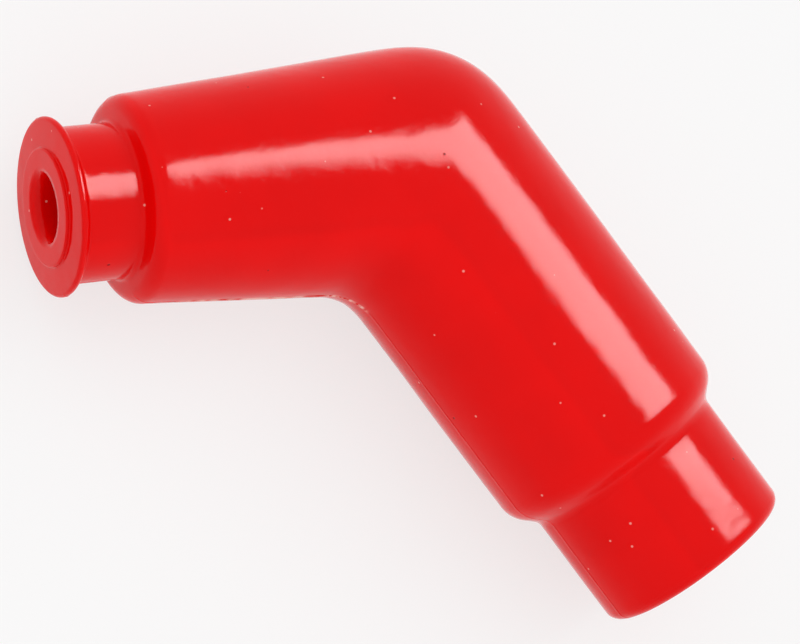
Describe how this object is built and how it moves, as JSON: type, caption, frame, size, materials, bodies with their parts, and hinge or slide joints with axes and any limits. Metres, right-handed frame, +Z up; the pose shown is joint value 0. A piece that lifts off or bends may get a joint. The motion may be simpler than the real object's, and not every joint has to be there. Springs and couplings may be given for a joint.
{
  "type": "spark plug cap",
  "caption": "Angled moulded silicone spark plug cap, with a bore and socket for the plug at its wide end and a bore and screw for the ignition lead at its collared end.",
  "frame": {"origin": "on the surface that the cap lies on, under the middle of its box", "axes": "+X along the plug arm, out of its mouth; +Z up, away from the surface; the cable arm turns away towards -X and -Y"},
  "size_m": [0.0792, 0.0522, 0.0263],
  "materials": {
    "red_silicone": "glossy moulded silicone",
    "brass": "turned",
    "steel": "plated",
    "ceramic": "fired ceramic, matt"
  },
  "bodies": {
    "root": {"boot": "red_silicone", "plug_terminal": "brass", "terminal_clip": "steel", "contact_spring": "steel", "resistor_rod": "ceramic", "resistor_cap_rear": "steel", "resistor_cap_front": "steel", "elbow_contact": "brass", "lead_screw": "brass"}
  },
  "joints": []
}
